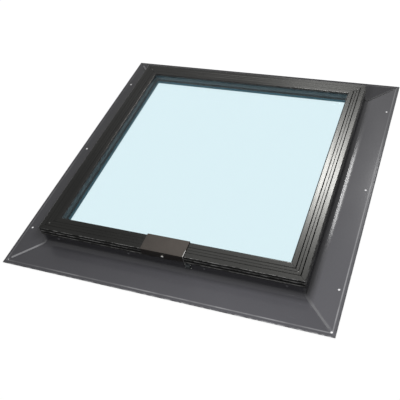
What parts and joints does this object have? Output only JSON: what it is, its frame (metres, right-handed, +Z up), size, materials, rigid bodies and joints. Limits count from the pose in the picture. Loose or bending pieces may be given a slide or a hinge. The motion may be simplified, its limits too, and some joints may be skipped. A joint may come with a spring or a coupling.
{
  "type": "fixed curb mount skylight with integral flashing flange",
  "caption": "Fixed square roof skylight: insulated glass in a mitred aluminium frame and cap on a low folded sheet curb with a wide nailing flange and a small sill clip.",
  "frame": {"origin": "centre of the flange outline, on the plane of the roof deck that the hems rest on", "axes": "+Z up out of the roof, -Y towards the sill side with the clip, +X to the right seen from the sill"},
  "size_m": [0.826, 0.826, 0.064],
  "materials": {
    "flashing_paint": "dark grey baked paint on sheet, satin",
    "seam_sealant": "smoothed grey sealant bead",
    "frame_finish": "dark bronze anodised extrusion",
    "cap_finish": "dark bronze anodised extrusion, semi-gloss",
    "glazing_tape": "black butyl tape",
    "gasket_rubber": "black rubber gasket",
    "glass": "clear coated glass, pale blue-green tint",
    "spacer_bar": "dark spacer bar",
    "edge_seal": "black edge sealant",
    "clip_finish": "dark bronze bent strip",
    "screw_steel": "plated steel screw"
  },
  "bodies": {
    "root": {"flashing_front": "flashing_paint", "flashing_right": "flashing_paint", "flashing_back": "flashing_paint", "flashing_left": "flashing_paint", "seam_front_left": "seam_sealant", "seam_front_right": "seam_sealant", "seam_back_left": "seam_sealant", "seam_back_right": "seam_sealant", "base_frame_front": "frame_finish", "base_frame_right": "frame_finish", "base_frame_back": "frame_finish", "base_frame_left": "frame_finish", "cap_front": "cap_finish", "cap_right": "cap_finish", "cap_back": "cap_finish", "cap_left": "cap_finish", "glazing_tape_front": "glazing_tape", "glazing_tape_right": "glazing_tape", "glazing_tape_back": "glazing_tape", "glazing_tape_left": "glazing_tape", "gasket_front": "gasket_rubber", "gasket_right": "gasket_rubber", "gasket_back": "gasket_rubber", "gasket_left": "gasket_rubber", "glass_outer": "glass", "glass_inner": "glass", "glass_spacer": "spacer_bar", "glass_edge_seal": "edge_seal", "sill_clip": "clip_finish", "clip_screw": "screw_steel"}
  },
  "joints": []
}
